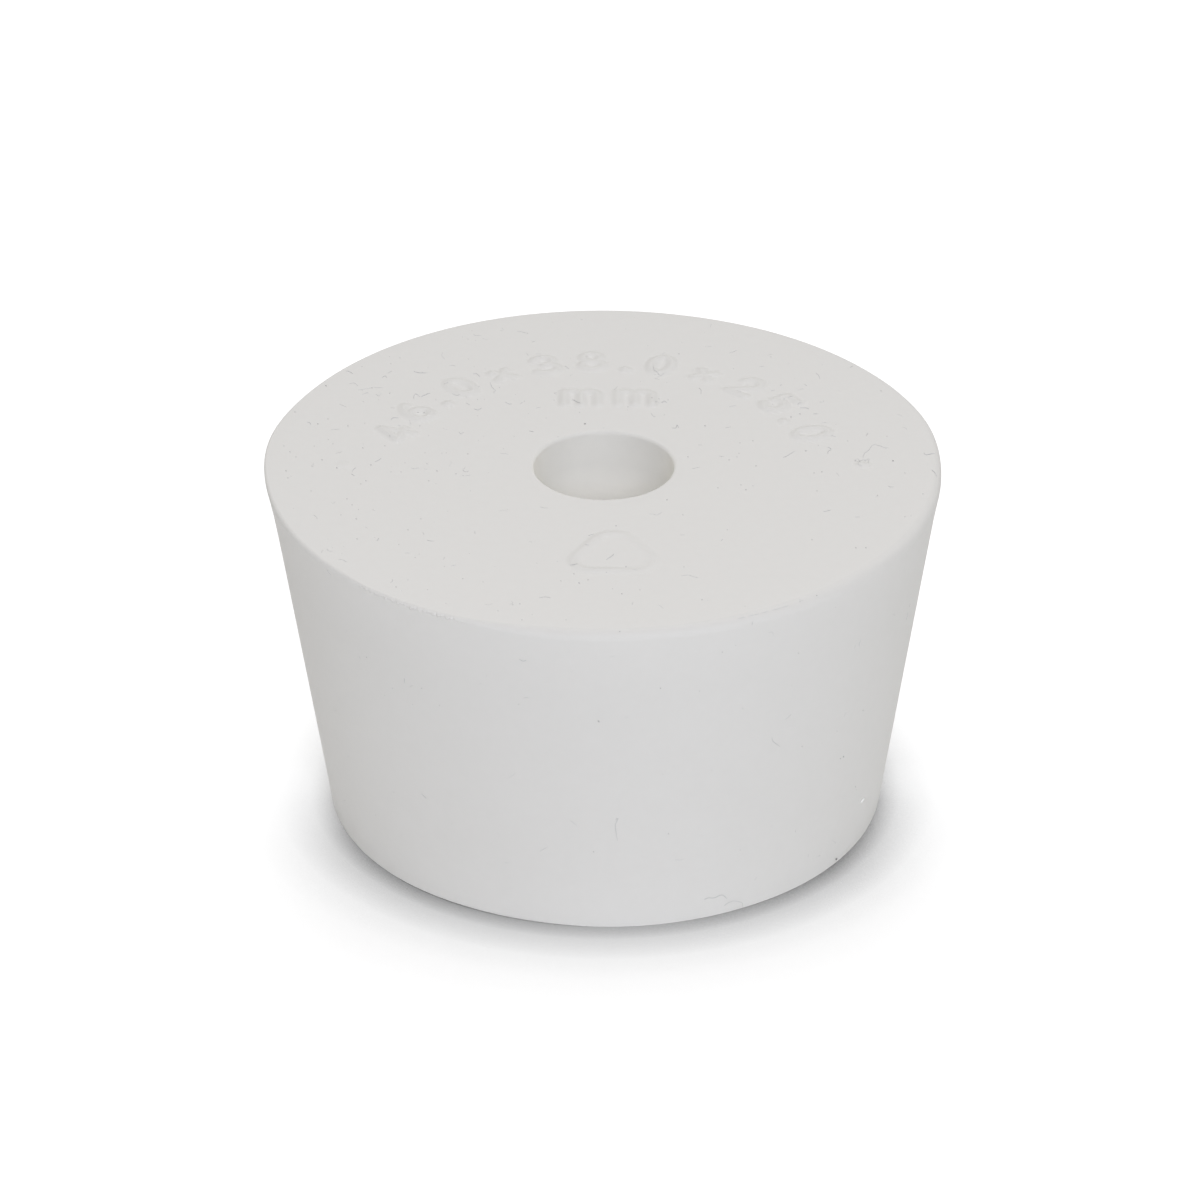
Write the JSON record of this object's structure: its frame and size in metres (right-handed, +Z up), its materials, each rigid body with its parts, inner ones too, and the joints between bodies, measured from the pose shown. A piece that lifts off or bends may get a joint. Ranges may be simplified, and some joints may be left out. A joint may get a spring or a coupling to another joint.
{
  "type": "rubber stopper",
  "caption": "Tapered moulded rubber stopper with a round hole along its axis; the narrow end plugs a flask or tube neck and the hole grips a glass tube.",
  "frame": {"origin": "centre of the narrow end face, which rests on the floor", "axes": "+Z up the axis of the taper, from the narrow end to the wide end; +Y points away from the viewer in the picture"},
  "size_m": [0.0458, 0.0458, 0.025],
  "materials": {
    "moulded_rubber": "matte off-white moulded rubber"
  },
  "bodies": {
    "root": {"stopper": "moulded_rubber"}
  },
  "joints": []
}
